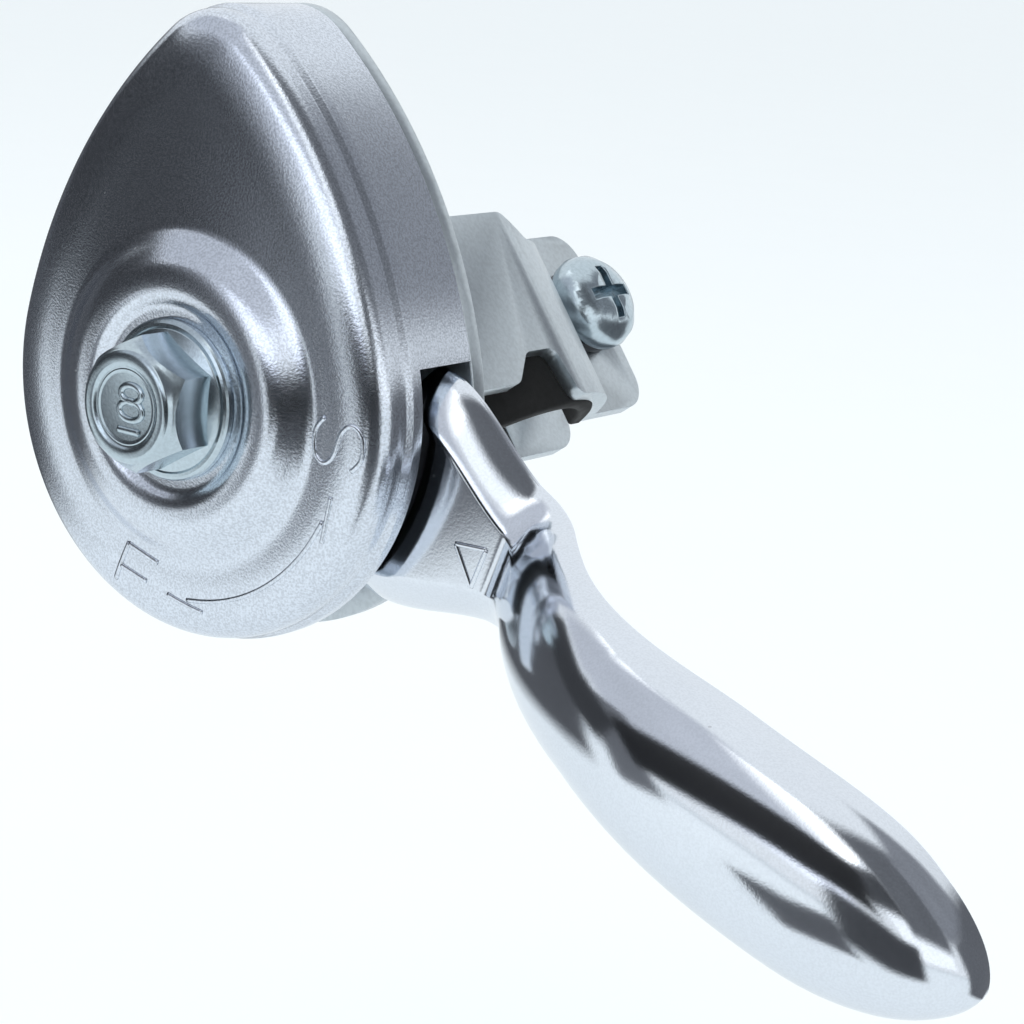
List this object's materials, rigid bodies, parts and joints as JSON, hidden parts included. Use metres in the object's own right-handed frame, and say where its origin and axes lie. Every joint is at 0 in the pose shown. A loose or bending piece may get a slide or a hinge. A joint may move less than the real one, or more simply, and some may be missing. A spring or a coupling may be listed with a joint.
{
  "type": "throttle lever",
  "caption": "Hand throttle lever for a tube: teardrop cover, sprung friction pivot, hollow pressed handle and a screw clamp.",
  "frame": {"origin": "centre of the tube clamp's bore, which lies on the pivot's axis", "axes": "+Z towards the cover's narrow tip, -Y out of the cover's flat face along the pivot, +X right as seen from the front"},
  "size_m": [0.1004, 0.0644, 0.0633],
  "materials": {
    "cover_steel": "zinc or chrome plated, satin pressed sheet",
    "lever_chrome": "bright chrome plated pressed sheet",
    "plated_steel": "bright zinc plated",
    "fastener_steel": "bright zinc plated, passivated",
    "spring_steel": "oiled spring steel",
    "fibre": "black pressed fibre",
    "drum_metal": "die cast, as cast",
    "rubber": "black moulded rubber",
    "nylon": "natural nylon"
  },
  "bodies": {
    "housing": {"cover": "cover_steel", "base_plate": "plated_steel", "clamp_strap": "plated_steel", "clamp_liner": "rubber", "bracket_rivets": "fastener_steel", "clamp_screw": "fastener_steel", "clamp_spring_washer": "spring_steel", "clamp_nut": "fastener_steel", "pivot_bolt": "fastener_steel", "lock_nut": "fastener_steel", "lock_nut_insert": "nylon", "rear_washer": "fastener_steel", "pivot_bush": "plated_steel", "disc_springs": "spring_steel", "pressure_washer": "plated_steel", "thrust_washer": "plated_steel", "friction_disc_front": "fibre", "friction_disc_rear": "fibre"},
    "lever": {"lever_arm": "lever_chrome", "cable_drum": "drum_metal", "drum_rivets": "fastener_steel"}
  },
  "joints": [
    {"name": "lever_turn", "type": "hinge", "parent": "housing", "child": "lever", "pos_m": [0, 0, 0], "axis": [0, 1, 0], "range_deg": [-1, 74.5]}
  ]
}
